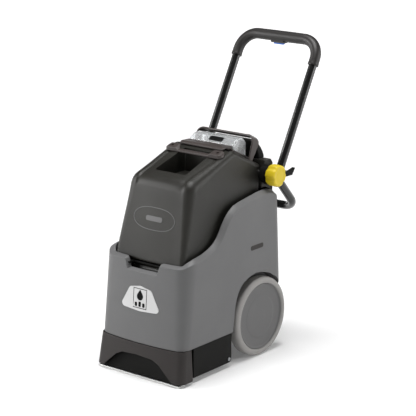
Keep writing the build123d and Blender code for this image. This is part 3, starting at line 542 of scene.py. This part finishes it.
def add_tank():
    loop = divided(rounded_loop(TANK_SIDE), 14)
    count = len(loop)
    verts, columns = [], 0
    for k, (y, z, round_r) in enumerate(loop):
        before, after = loop[k - 1], loop[(k + 1) % count]
        along = Vector((after[0] - before[0], after[1] - before[1])).normalized()
        inward = (along.y, -along.x)
        roof = smoothstep((z - 520) / 50) if y < 85 and inward[1] < -0.3 else 0.0
        half = tank_half(z)
        turns = [radians(a) for a in EDGE_ANGLES]
        side = [(round_r * (1 - sin(turn)), round_r * (1 - cos(turn))) for turn in turns]
        side += [(round_r + inset, sink * roof) for inset, sink in ROOF_EDGE]
        profile = [(half - a, b) for a, b in side]
        rest = profile[-1][0]
        profile += [(rest * t, 0.9 * roof - 1.0 * (1 - t * t)) for t in (0.8, 0.6, 0.4, 0.2)]
        row = profile + [(0, 0.9 * roof - 1.0)] + [(-x, b) for x, b in reversed(profile)]
        columns = len(row)
        verts += [(x, y + inward[0] * b, z + inward[1] * b) for x, b in row]
    faces = grid_faces(count, columns, True, False)
    faces.append([k * columns for k in range(count)])
    faces.append([k * columns + columns - 1 for k in reversed(range(count))])
    mesh = to_mesh("recovery_tank_look", verts, faces)
    hold = [(x, y) for x, y, _ in rounded_loop([(x, y, r, 0) for x, y, r in HOLD], 6)]
    cutters = [prism_cutter(hold, HOLD_FLOOR, 700), box_cutter(*TANK_INSIDE), box_cutter(*LID_MOUTH)]
    for x in (-BAIL_SLOT_X, BAIL_SLOT_X):
        cutters.append(box_cutter(x - BAIL_SLOT_HALF, x + BAIL_SLOT_HALF, -13, 51, 549, 700))
    mesh = carved(mesh, cutters)
    return finished("recovery_tank_look", mesh, "recovery_tank", 30, stands_for=["recovery_tank"])


def carved(mesh, cutters):
    """The mesh with the cutters taken out of it."""
    target = bpy.data.objects.new("carving", mesh)
    bpy.context.scene.collection.objects.link(target)
    for cutter in cutters:
        tool = bpy.data.objects.new("cutter", cutter)
        bpy.context.scene.collection.objects.link(tool)
        cut = target.modifiers.new("cut", "BOOLEAN")
        cut.operation, cut.solver, cut.object = "DIFFERENCE", "EXACT", tool
        bpy.context.view_layer.update()
        result = bpy.data.meshes.new_from_object(target.evaluated_get(bpy.context.evaluated_depsgraph_get()))
        target.modifiers.clear()
        target.data = result
        bpy.data.objects.remove(tool)
    bpy.data.objects.remove(target)
    result.name = mesh.name
    return result


def box_cutter(x0, x1, y0, y1, z0, z1):
    verts = [(x, y, z) for z in (z0, z1) for y in (y0, y1) for x in (x0, x1)]
    faces = [(0, 2, 3, 1), (4, 5, 7, 6), (0, 1, 5, 4), (2, 6, 7, 3), (0, 4, 6, 2), (1, 3, 7, 5)]
    return to_mesh("cutter", verts, faces)


def prism_cutter(outline, z0, z1):
    count = len(outline)
    verts = [(x, y, z) for z in (z0, z1) for x, y in outline]
    faces = [[*reversed(range(count))], [*range(count, 2 * count)]]
    faces += [(k, (k + 1) % count, count + (k + 1) % count, count + k) for k in range(count)]
    return to_mesh("cutter", verts, faces)


add_tank()


# ---- wheels ------------------------------------------------------------------------------
WHEEL_CENTRE = (29.0, 119.5)
TYRE = [
    (128, 100.2), (126.6, 104), (126.2, 112), (128, 116.5), (131, 118.9), (135, 119.5), (151, 119.5),
    (155.5, 118.9), (159.2, 116.9), (161.8, 113.4), (163, 108.8), (162.9, 105.2), (161.6, 102.4),
    (159.4, 100.5), (155, 100.2), (128, 100.2),
]
DISC = [
    (153, 0), (153, 8.2), (125, 8.2), (125, 19), (126.5, 20.5), (137, 24), (141, 60), (141, 86),
    (130, 90), (129, 92), (129, 99.4), (130, 99.9), (158, 99.9), (159.3, 98.9), (159.2, 97.4),
    (157.4, 95.6), (156.2, 93), (155.8, 90), (155.3, 76), (155.0, 66), (155.6, 64.6), (155.9, 62),
    (156.0, 40), (156.3, 20), (156.4, 0),
]


def add_wheel(side, sign):
    for part, profile in (("tyre", TYRE), ("wheel_disc", DISC)):
        node = f"{part}_{side}"
        points = [(sign * x, r) for x, r in profile]
        turned(node + "_look", node, points, WHEEL_CENTRE, stands_for=[node])


add_wheel("right", 1)
add_wheel("left", -1)


# ---- swept pieces ------------------------------------------------------------------------
def arc_path(corners, steps=10, closed=False):
    """Path through (x, y, z, radius) corners with true arcs at the corners."""
    count = len(corners)
    points = []
    for k, corner in enumerate(corners):
        here = Vector(corner[:3])
        ends = not closed and k in (0, count - 1)
        if ends or corner[3] == 0:
            points.append(here)
            continue
        back = (Vector(corners[k - 1][:3]) - here).normalized()
        ahead = (Vector(corners[(k + 1) % count][:3]) - here).normalized()
        half = back.angle(ahead) / 2
        reach = corner[3] * cos(half) / sin(half)
        centre = here + (back + ahead).normalized() * (corner[3] / sin(half))
        first, last = here + back * reach - centre, here + ahead * reach - centre
        turn = first.angle(last)
        for step in range(steps + 1):
            t = step / steps
            points.append(centre + (first * sin(turn * (1 - t)) + last * sin(turn * t)) / sin(turn))
    return points


HANDLE_LEAN = Vector((0, 0.469, 0.883))


def swept(name, node, path, section_at, closed=False, lean=HANDLE_LEAN, **rest):
    """Surface through a section carried along a path that lies in the plane of X and lean.

    section_at(share of the path) gives offsets in that plane and out of it.
    """
    count = len(path)
    lengths = [0.0]
    for a, b in zip(path, path[1:]):
        lengths.append(lengths[-1] + (b - a).length)
    verts = []
    size = len(section_at(0.0))
    off_plane = lean.cross(Vector((1, 0, 0))).normalized()
    for k, point in enumerate(path):
        before = path[k - 1] if closed or k else path[0]
        after = path[(k + 1) % count] if closed or k < count - 1 else path[-1]
        along = (after - before).normalized()
        normal = along.cross(off_plane).normalized()
        binormal = along.cross(normal).normalized()
        verts += [tuple(point + normal * u + binormal * v) for u, v in section_at(lengths[k] / lengths[-1])]
    faces = grid_faces(count, size, closed, True)
    if not closed:
        faces += [list(range(size)), list(reversed(range((count - 1) * size, count * size)))]
    return finished(name, to_mesh(name, verts, faces), node, 35, **rest)


def circle(radius, steps=28):
    return [(radius * cos(2 * pi * k / steps), radius * sin(2 * pi * k / steps)) for k in range(steps)]


def spaced(path, longest):
    """The path with points no further apart than a length."""
    result = [path[0]]
    for a, b in zip(path, path[1:]):
        steps = int((b - a).length / longest) + 1
        result += [a.lerp(b, step / steps) for step in range(1, steps + 1)]
    return result


TUBE_X, TUBE_R = 144.0, 12.5
KINK, GRIP_BAR, CROSS_BAR = (122.5, 522.0), (333.5, 901.5), (222.0, 411.0)
GRIP_BEND, KINK_BEND, CROSS_BEND = 58.0, 30.0, 48.0
GRIP_START = 0.82    # share of the way from the kink to the grip bar
GRIP_RADII = [    # (distance from the grip's end, radius)
    (0, 12.6), (0.15, 15.9), (0.8, 16.8), (4.2, 16.9), (6.5, 16.0), (40, 16.3), (90, 16.6),
]
TRIGGER = (-25.0, 11.0)    # lowest and highest x of the slot's trigger


def add_handle():
    right = [(TUBE_X, *CROSS_BAR, CROSS_BEND), (TUBE_X, *KINK, KINK_BEND), (TUBE_X, *GRIP_BAR, GRIP_BEND)]
    loop = right + [(-x, y, z, bend) for x, y, z, bend in reversed(right)]
    swept("handle_tube_look", "handle_tube", arc_path(loop, 12, True), lambda t: circle(TUBE_R), True,
          stands_for=["handle_tube"])
    start = [mix(a, b, GRIP_START) for a, b in zip(KINK, GRIP_BAR)]
    right = [(TUBE_X, *start, 0), (TUBE_X, *GRIP_BAR, GRIP_BEND)]
    route = right + [(-x, y, z, bend) for x, y, z, bend in reversed(right)]
    path = spaced(arc_path(route, 12), 6)
    lips = [path[0].lerp(path[1], share) for share in (0, 0.02, 0.12, 0.7)]
    tail = [path[-1].lerp(path[-2], share) for share in (0.7, 0.12, 0.02, 0)]
    path = lips + path[1:-1] + tail
    total = sum((b - a).length for a, b in zip(path, path[1:]))

    def section(t):
        end = min(t, 1 - t) * total
        radius = along_table(GRIP_RADII, end)
        swell = smoothstep((end - 110) / 60)
        return [(u * (1 + 0.02 * swell), v) for u, v in circle(radius, 32)]

    grip = swept("handle_grip_look", "handle_grip", path, section, stands_for=["handle_grip"])
    y, z = GRIP_BAR
    slot = box_cutter(TRIGGER[0] - 1, TRIGGER[1] + 1, y - 8, y + 4, z - 40, z - 13.1)
    grip.data = carved(grip.data, [slot])
    grip.data.set_sharp_from_angle(angle=radians(35))


add_handle()


# ---- clamping knobs ----------------------------------------------------------------------
PIVOT, KNOB_R = (82.0, 541.0), 33.4
KNOB_LOBES, FIRST_DIP, DIP_DEPTH, KNOB_STEPS = 6, radians(10), 2.9, 144
KNOB_PROFILE = [    # (x, share of the radius)
    (152.2, 0.20), (152.2, 0.90), (153.6, 0.92), (158.1, 0.925), (158.4, 0.955), (160.4, 0.985),
    (166, 1.0), (174, 0.995), (179, 0.975), (182.6, 0.935), (184.4, 0.87), (185, 0.80), (184.8, 0.72),
    (183.8, 0.68), (183.6, 0.46), (184.2, 0.42), (184.3, 0.20), (184.3, 0.0),
]


def add_knob(side, sign):
    verts = []
    for x, share in KNOB_PROFILE:
        for k in range(KNOB_STEPS):
            angle = 2 * pi * k / KNOB_STEPS
            dip = max(0.0, cos(KNOB_LOBES * (angle - FIRST_DIP))) ** 1.4
            depth = DIP_DEPTH * smoothstep((share - 0.55) / 0.3)
            radius = share * KNOB_R - dip * depth
            verts.append((sign * x, PIVOT[0] + radius * cos(angle), PIVOT[1] + radius * sin(angle)))
    mesh = to_mesh(f"knob_{side}_look", verts, grid_faces(len(KNOB_PROFILE), KNOB_STEPS, False, True))
    finished(f"knob_{side}_look", mesh, f"knob_{side}", 40, stands_for=[f"knob_{side}"])


add_knob("right", 1)
add_knob("left", -1)


# ---- bail --------------------------------------------------------------------------------
BAIL_PIVOT, BAIL_REACH, BAIL_ANGLE = (31.0, 562.0), 98.5, radians(63)
BAIL_X, BAIL_THICK, BAIL_BEND = BAIL_SLOT_X, 6.0, 21.0
BAIL_WIDTHS = [    # (distance from the strap's end, width)
    (0, 9), (3, 14), (8, 15.5), (14, 15), (40, 19), (75, 29), (96, 34), (115, 31), (132, 26),
]


def rounded_section(wide, thick, radius, steps=4):
    points = []
    for cu, cv, first in ((1, 1, 0), (-1, 1, 90), (-1, -1, 180), (1, -1, 270)):
        for k in range(steps + 1):
            angle = radians(first + 90 * k / steps)
            u, v = cu * (thick / 2 - radius), cv * (wide / 2 - radius)
            points.append((u + radius * cos(angle), v + radius * sin(angle)))
    return points


def add_bail():
    def at(x, reach, bend):
        return (x, BAIL_PIVOT[0] + reach * cos(BAIL_ANGLE), BAIL_PIVOT[1] + reach * sin(BAIL_ANGLE), bend)

    top = BAIL_REACH - BAIL_THICK / 2
    corners = [at(BAIL_X, -8, 0), at(BAIL_X, top, BAIL_BEND), at(-BAIL_X, top, BAIL_BEND), at(-BAIL_X, -8, 0)]
    path = spaced(arc_path(corners, 10), 5)
    total = sum((b - a).length for a, b in zip(path, path[1:]))

    def section(t):
        end = min(t, 1 - t) * total
        return rounded_section(along_table(BAIL_WIDTHS, end), BAIL_THICK, 2.2)

    lean = Vector((0, cos(BAIL_ANGLE), sin(BAIL_ANGLE)))
    swept("tank_bail_look", "tank_bail", path, section, lean=lean, stands_for=["tank_bail"])


add_bail()


# ---- bars made of sections across the machine --------------------------------------------
def section_yz(y0, y1, z0, z1, radius, tilt=0.0, steps=4):
    """Rounded rectangle in the (y, z) plane, sheared so that its height rises by tilt per unit of y."""
    points = []
    for cy, cz, first in ((y1 - radius, z1 - radius, 0), (y0 + radius, z1 - radius, 90),
                          (y0 + radius, z0 + radius, 180), (y1 - radius, z0 + radius, 270)):
        for k in range(steps + 1):
            angle = radians(first + 90 * k / steps)
            y, z = cy + radius * cos(angle), cz + radius * sin(angle)
            points.append((y, z + (y - (y0 + y1) / 2) * tilt))
    return points


def across(name, node, stations, **rest):
    """Solid through sections at several x: stations are (x, section)."""
    verts = [(x, y, z) for x, section in stations for y, z in section]
    size = len(stations[0][1])
    faces = grid_faces(len(stations), size, False, True)
    faces += [list(range(size)), list(reversed(range((len(stations) - 1) * size, len(stations) * size)))]
    return finished(name, to_mesh(name, verts, faces), node, 40, **rest)


POST_X, POST_Y, POST_R = 84, -84, 4.6


def add_carry_bar():
    stations = []
    half, front = 104.0, -97.0
    for k in range(65):
        x = mix(-half, half, k / 64)
        end = half - abs(x)
        narrow = sqrt(max(0.0, 1 - (max(0.0, 13 - end) / 13) ** 2))
        lobe = smoothstep((abs(x) - 54) / 12)
        rear = mix(-86.0, -71.5, lobe)
        middle, wide = (front + rear) / 2, mix(3.0, (rear - front) / 2, narrow)
        low = along_table(ROOF_LINE, middle) + 0.6
        high = low + mix(4, mix(6.6, 12.4, lobe), narrow)
        stations.append((x, section_yz(middle - wide, middle + wide, low, high, 1.9, 0.31)))
    bar = across("carry_bar_look", "carry_bar", stations, stands_for=["carry_bar"])
    cutters = []
    for x in (-POST_X, POST_X):
        cutters.append(prism_cutter([(x + u, POST_Y + v) for u, v in circle(POST_R, 24)], 616, 640))
    bar.data = carved(bar.data, cutters)
    bar.data.set_sharp_from_angle(angle=radians(40))


add_carry_bar()


HOOD_FLOOR, HOOD_HALF, HOOD_BEND, RIB_PITCH = 578.4, 97.0, 40.0, 12
HOOD_SIDE = [    # (y, z)
    (90.5, HOOD_FLOOR), (90.5, 600), (90.5, 626), (92, 631), (96, 633.6), (104, 632), (112, 628),
    (119, 620.5), (124.5, 609), (128, 595), (129, 586), (129, HOOD_FLOOR),
]
LOUVRES, FIRST_LOUVRE, LOUVRE_PITCH, LOUVRE_WIDE = 9, -74, 18, 8


def add_rear_hood():
    stations = []
    for k in range(131):
        x = -HOOD_HALF + 2 * HOOD_HALF * k / 130
        near = max(0.0, HOOD_BEND - (HOOD_HALF - abs(x))) / HOOD_BEND
        share = sqrt(max(0.0, 1 - near ** 2.2))
        rib = 0.8 * max(0.0, cos(2 * pi * x / RIB_PITCH)) ** 3
        section = []
        for y, z in HOOD_SIDE:
            out = max(0.0, (y - 96) / 33)
            height = (z - HOOD_FLOOR - rib * (1 - out)) * mix(0.02, 1, share)
            section.append((mix(106, y, mix(0.55, 1, share)) - rib * out, HOOD_FLOOR + height))
        stations.append((x, section))
    piece = across("rear_hood_look", "rear_hood", stations, stands_for=["rear_hood"])
    starts = [FIRST_LOUVRE + LOUVRE_PITCH * k for k in range(LOUVRES)]
    cutters = [box_cutter(x, x + LOUVRE_WIDE, 112, 140, 588, 608) for x in starts]
    piece.data = carved(piece.data, cutters)
    piece.data.set_sharp_from_angle(angle=radians(40))


add_rear_hood()


# ---- CAD shapes with rounded edges -------------------------------------------------------
LID_SIDE = 84.0    # the lid's rim is drawn in beyond this half-width
for node, width in {
    "front_skirt": 0.9, "side_panel_right": 0.8, "side_panel_left": 0.8, "vacuum_shoe": 0.8, "shoe_lip": 0.5,
    "brush_deck": 0.8, "rear_column": 2.0, "switch_panel": 0.6, "vacuum_switch": 0.5,
    "brush_switch": 0.5, "cord_gland": 0.8, "lid_dome": 1.5, "bail_pins": 0.6,
    "handle_bracket_right": 1.2, "handle_bracket_left": 1.2, "cord_hook": 1.4, "trigger_housing": 1.0,
    "spray_trigger": 1.6, "filler_trough": 0.8, "tank_tray": 0.8, "bar_screws": 0.4, "pivot_bolts": 0.5,
}.items():
    refined(node, width)
refined("deck_screws", 0.5, look=LOOKS["motor_can"])
for vertex in refined("lid_frame", 1.6).data.vertices:
    beyond = abs(vertex.co.x) - LID_SIDE * MM
    if beyond > 0:
        vertex.co.x -= (0.6 if vertex.co.x > 0 else -0.6) * beyond


# ---- badges and accents ------------------------------------------------------------------
def front_wall(x, z, out):
    """Point at a distance outside the front of the base."""
    t = (z - BODY_FLOOR) / (LOFT_TOP - BODY_FLOOR)
    front = mix(FRONT_LOW, FRONT_HIGH, t)
    return x, front - BOW + BOW_RADIUS - sqrt(BOW_RADIUS ** 2 - x ** 2) - out, z


def side_wall(y, z, out):
    return BODY_HALF + out, y, z


def tank_front(x, z, out):
    """Point at a distance outside the crowned front of the tank."""
    (y0, z0), (y1, z1) = TANK_SIDE[1][:2], TANK_SIDE[2][:2]
    run, rise = y1 - y0, z1 - z0
    slope = hypot(run, rise)
    out += 1.0 - (x / 84) ** 2
    return x, y0 + (z - z0) * run / rise - out * rise / slope, z + out * run / slope


def dome_top(x, y, out):
    return x, y, along_table([(-10.5, 635), (12, 649), (36, 650)], y) + out


def span(outline, u):
    """Lowest and highest v of a closed convex outline at u."""
    hits = []
    for k, (u0, v0) in enumerate(outline):
        u1, v1 = outline[(k + 1) % len(outline)]
        if min(u0, u1) - 1e-6 <= u <= max(u0, u1) + 1e-6 and abs(u1 - u0) > 1e-6:
            hits.append(mix(v0, v1, min(1.0, max(0.0, (u - u0) / (u1 - u0)))))
    return min(hits), max(hits)


def patch(name, node, surface, outline, low, high, look=None, replaces=(), steps=24, rows=4):
    """Thin raised plate with a convex outline, lying on a surface between two distances outside it."""
    left, right = min(u for u, _ in outline), max(u for u, _ in outline)
    verts = []
    for k in range(steps + 1):
        u = mix(left, right, (1 - cos(pi * k / steps)) / 2)
        v0, v1 = span(outline, u)
        section = [surface(u, v0, low)] + [surface(u, mix(v0, v1, j / rows), high) for j in range(rows + 1)]
        verts += section + [surface(u, v1, low)]
    size = rows + 3
    faces = grid_faces(steps + 1, size, False, True)
    faces += [list(range(size)), list(reversed(range(steps * size, (steps + 1) * size)))]
    mesh = to_mesh(name, verts, faces)
    finished(name, mesh, node, 30, look, stands_for=replaces, weighted=False)


def ring(name, node, surface, outer, inner, low, high, look):
    """Thin raised band between two closed outlines with the same number of points."""
    count = len(outer)
    verts = []
    for (u0, v0), (u1, v1) in zip(outer, inner):
        verts += [surface(u0, v0, low), surface(u0, v0, high), surface(u1, v1, high), surface(u1, v1, low)]
    mesh = to_mesh(name, verts, grid_faces(count, 4, True, True))
    finished(name, mesh, node, 30, look, weighted=False)


def soft_polygon(corners, radius, steps=6):
    return [(u, v) for u, v, _ in rounded_loop([(u, v, radius, 0) for u, v in corners], steps)]


def soft_box(u0, u1, v0, v1, radius):
    return soft_polygon([(u0, v0), (u1, v0), (u1, v1), (u0, v1)], radius)


def oval(half_u, half_v, centre, steps=64, power=0.72):
    points = []
    for k in range(steps):
        c, s = cos(2 * pi * k / steps), sin(2 * pi * k / steps)
        points.append((half_u * abs(c) ** power * (1 if c >= 0 else -1), centre + half_v * s))
    return points


MARK_LOW, MARK_HIGH = 0.9, 1.48    # distances of a printed mark outside the front of the base
TUFT_HALF, TUFT_LOW = 4.4, 210.5


def add_front_badge():
    plate = [(-70, 211), (-63, 202), (0, 198), (63, 202), (70, 211), (40, 264), (0, 272), (-40, 264)]
    patch("front_badge_look", "front_badge", front_wall, soft_polygon(plate, 11), 0.0, 1.15,
          replaces=["front_badge"], steps=48, rows=8)
    outer, inner = [
        [(u, v) for u, v, _ in divided([(u, v, 0) for u, v in soft_box(-half, half, low, high, radius)], 4)]
        for half, low, high, radius in ((25, 206, 264, 1.5), (23.2, 207.8, 262.2, 1.5))
    ]
    ring("emblem_frame", "front_badge", front_wall, outer, inner, MARK_LOW, MARK_HIGH, MARK_AND_SHADE_BLACK)
    drop = [(0, 261)] + [(11.5 * cos(radians(a)), 241 + 11.5 * sin(radians(a))) for a in range(30, -211, -15)]
    patch("emblem_drop", "front_badge", front_wall, drop, MARK_LOW, MARK_HIGH, look=MARK_AND_SHADE_BLACK)
    for index, (x, top) in enumerate([(-14, 223), (0, 226), (14, 223)]):
        tuft = soft_box(x - TUFT_HALF, x + TUFT_HALF, TUFT_LOW, top, 4)
        patch(f"emblem_tuft_{index}", "front_badge", front_wall, tuft, MARK_LOW, MARK_HIGH, look=MARK_AND_SHADE_BLACK)


def add_tank_accents():
    """Moulded oval on the tank, with a plain blank plate in it."""
    ring("tank_oval", "recovery_tank", tank_front, oval(76, 32, 456), oval(74.2, 30.4, 456), -0.2, 0.7,
         LOOKS["disc_grey"])
    patch("tank_blank_plate", "recovery_tank", tank_front, soft_box(-30, 30, 449, 463, 6.5), -0.2, 0.5,
          look=LOOKS["disc_grey"])


def add_side_accents():
    """Plain blank plate on the right side of the base."""
    patch("side_blank_plate", "base_shell", side_wall, soft_box(-20, 40, 332, 346, 6.5), -0.3, 0.3,
          look=LOOKS["skirt_grey"])


def add_lid_label():
    """Plain blank plate on the sloping front of the clear cover."""
    patch("lid_blank_plate", "lid_dome", dome_top, soft_box(-14, 36, -5.5, 9.5, 2), 0.1, 0.6, look=MARK_AND_SHADE_BLACK)


def add_gland_bore_shade():
    """Black disc at the bottom of the cord gland's bore: painted shade standing in for the dark depth of the
    hole.
    """
    bore = [(u, 300 + v) for u, v in circle(4.48)]
    patch("gland_bore_shade", "cord_gland", lambda x, z, out: (x, 141 + out, z), bore, -1.0, 0.0, look=MARK_AND_SHADE_BLACK)


add_front_badge()
add_tank_accents()
add_side_accents()
add_lid_label()
add_gland_bore_shade()


# ---- floor -------------------------------------------------------------------------------
def add_floor():
    """Wide round floor whose far edge curves up, so that every view ends on it."""
    flat, bend, rise, steps = 13.0, 1.5, 2.6, 72
    profile = [(0.02, 0.0), (2.0, 0.0), (5.0, 0.0), (9.0, 0.0)]
    profile += [(flat + bend * sin(radians(15 * k)), bend - bend * cos(radians(15 * k))) for k in range(7)]
    profile.append((flat + bend, rise))
    turns = [2 * pi * k / steps for k in range(steps)]
    verts = [(radius * cos(turn), radius * sin(turn), z) for radius, z in profile for turn in turns]
    mesh = bpy.data.meshes.new("floor")
    mesh.from_pydata(verts, [], grid_faces(len(profile), steps, False, True) + [list(reversed(range(steps)))])
    mesh.shade_smooth()
    floor = bpy.data.objects.new("floor", mesh)
    bpy.context.scene.collection.objects.link(floor)
    n = Nodes("floor_pale")
    pale = n.two_colours(n.noise(1.5, 3), (0.79, 0.79, 0.79), (0.82, 0.82, 0.82))
    n.link(pale, n.shader.inputs["Base Color"])
    n.link(n.bump(n.noise(120, 2), 0.0002, 0.2), n.shader.inputs["Normal"])
    n.shader.inputs["Roughness"].default_value = 0.8
    n.shader.inputs["Emission Color"].default_value = (1, 1, 1, 1)
    distance = n.add("ShaderNodeVectorMath", operation="LENGTH")
    n.link(n.place, distance.inputs[0])
    n.link(n.spread(distance.outputs["Value"], 0.10, 1.0, 1.0, 5.0), n.shader.inputs["Emission Strength"])
    mesh.materials.append(n.material)


add_floor()
